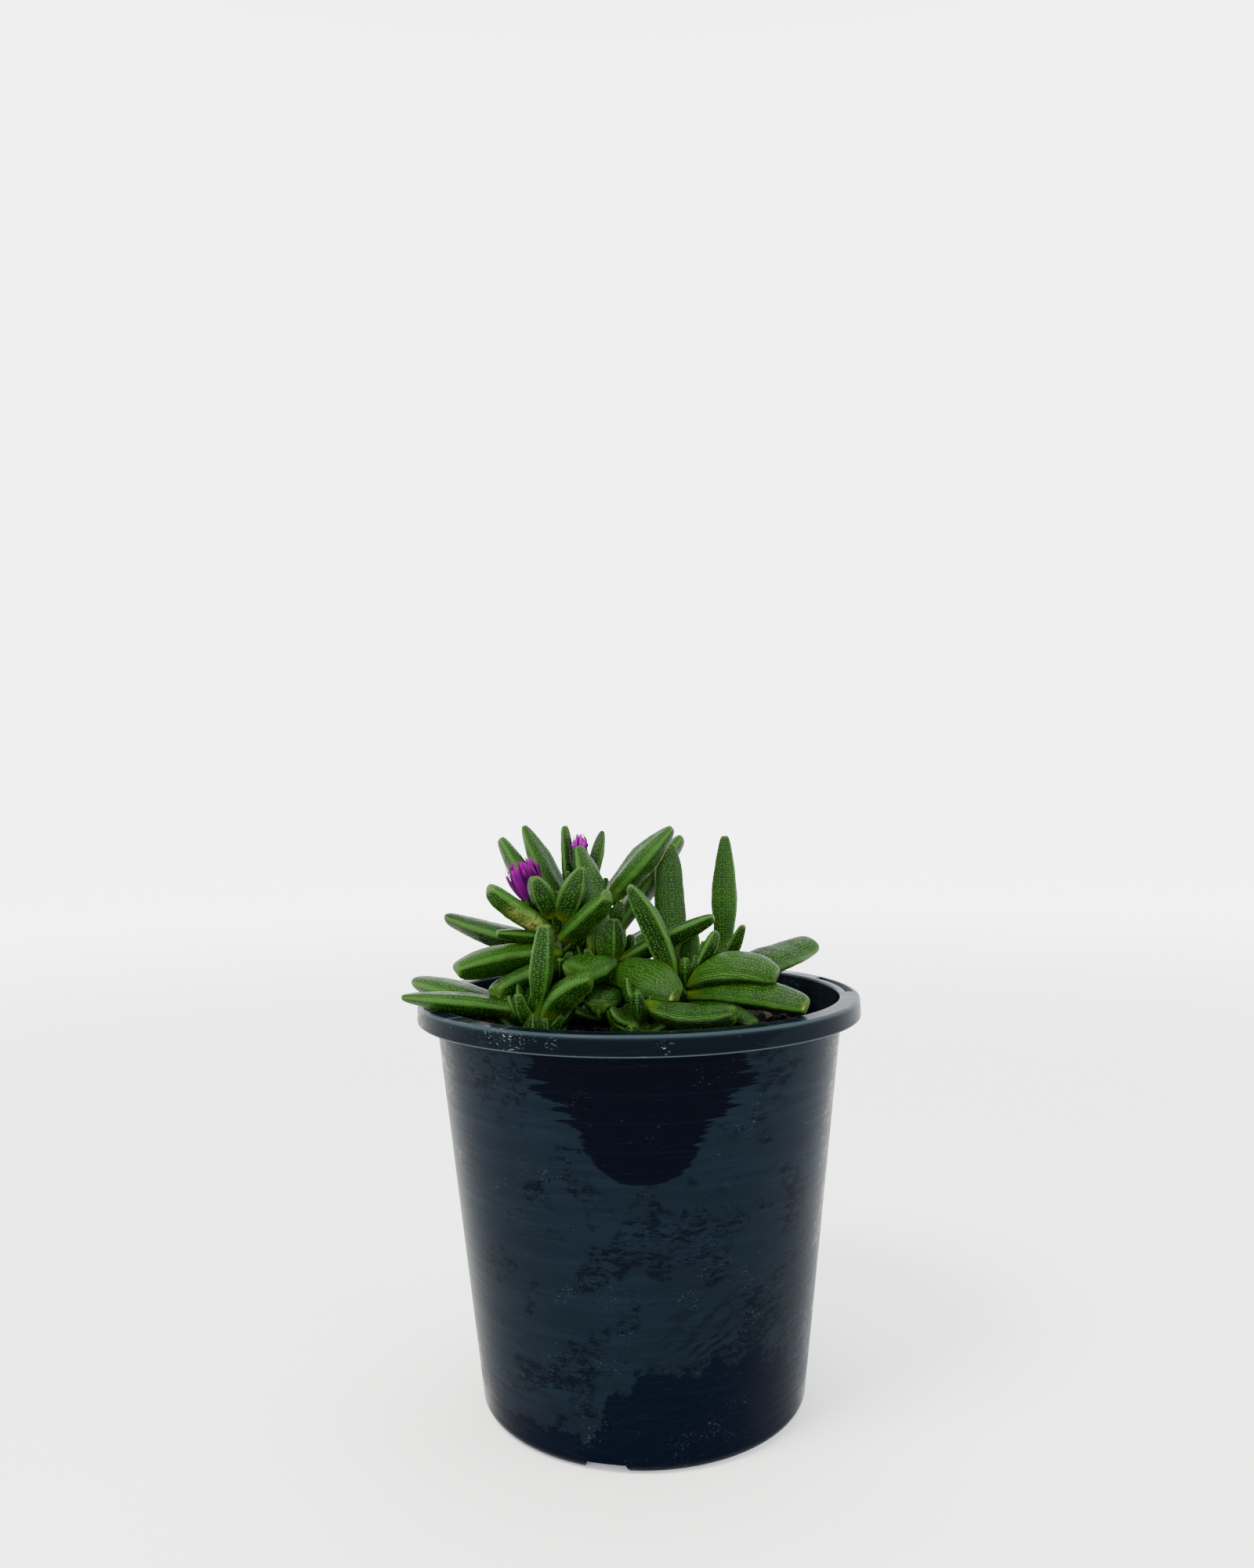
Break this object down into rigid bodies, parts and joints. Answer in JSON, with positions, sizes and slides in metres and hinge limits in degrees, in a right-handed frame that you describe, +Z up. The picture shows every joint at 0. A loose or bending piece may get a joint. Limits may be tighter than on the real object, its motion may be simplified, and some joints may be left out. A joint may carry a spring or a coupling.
{
  "type": "potted ice plant",
  "caption": "Succulent ice plant with thick finger-like leaves, a half-open magenta flower and a bud, growing in a tapered black plastic nursery pot.",
  "frame": {"origin": "centre of the pot's flat base, on the surface it stands on", "axes": "+Z up along the pot's axis, -Y towards the front, with the flower at the front left and the label slot on the right"},
  "size_m": [0.1411, 0.1404, 0.1799],
  "materials": {
    "pot_plastic": "injection-moulded polypropylene, semi-gloss, lightly scuffed",
    "potting_mix": "damp composted bark and peat, matt and crumbly",
    "stem": "green succulent stem, matt",
    "leaf": "waxy green skin with fine bumps, satin",
    "calyx": "waxy green skin, satin",
    "petals": "thin silky magenta petals"
  },
  "bodies": {
    "root": {"back_shoot_leaf_1": "leaf", "back_shoot_leaf_2": "leaf", "back_shoot_leaf_3": "leaf", "back_shoot_leaf_4": "leaf", "back_shoot_stem": "stem", "bud_calyx": "calyx", "bud_petals": "petals", "bud_shoot_leaf_1": "leaf", "bud_shoot_leaf_2": "leaf", "bud_shoot_leaf_3": "leaf", "bud_shoot_leaf_4": "leaf", "bud_shoot_stem": "stem", "centre_shoot_leaf_1": "leaf", "centre_shoot_leaf_2": "leaf", "centre_shoot_leaf_3": "leaf", "centre_shoot_leaf_4": "leaf", "centre_shoot_leaf_5": "leaf", "centre_shoot_leaf_6": "leaf", "centre_shoot_stem": "stem", "far_right_shoot_leaf_1": "leaf", "far_right_shoot_leaf_2": "leaf", "far_right_shoot_leaf_3": "leaf", "far_right_shoot_leaf_4": "leaf", "far_right_shoot_stem": "stem", "flower_calyx": "calyx", "flower_petals": "petals", "flower_shoot_leaf_1": "leaf", "flower_shoot_leaf_2": "leaf", "flower_shoot_leaf_3": "leaf", "flower_shoot_leaf_4": "leaf", "flower_shoot_leaf_5": "leaf", "flower_shoot_leaf_6": "leaf", "flower_shoot_leaf_7": "leaf", "flower_shoot_leaf_8": "leaf", "flower_shoot_leaf_9": "leaf", "flower_shoot_stem": "stem", "front_shoot_leaf_1": "leaf", "front_shoot_stem": "stem", "left_shoot_leaf_1": "leaf", "left_shoot_leaf_2": "leaf", "left_shoot_leaf_3": "leaf", "left_shoot_leaf_4": "leaf", "left_shoot_stem": "stem", "middle_shoot_leaf_1": "leaf", "middle_shoot_stem": "stem", "pot": "pot_plastic", "potting_mix": "potting_mix", "right_shoot_leaf_1": "leaf", "right_shoot_leaf_2": "leaf", "right_shoot_leaf_3": "leaf", "right_shoot_leaf_4": "leaf", "right_shoot_leaf_5": "leaf", "right_shoot_leaf_6": "leaf", "right_shoot_stem": "stem", "tall_shoot_leaf_1": "leaf", "tall_shoot_leaf_2": "leaf", "tall_shoot_leaf_3": "leaf", "tall_shoot_leaf_4": "leaf", "tall_shoot_leaf_5": "leaf", "tall_shoot_stem": "stem"}
  },
  "joints": []
}
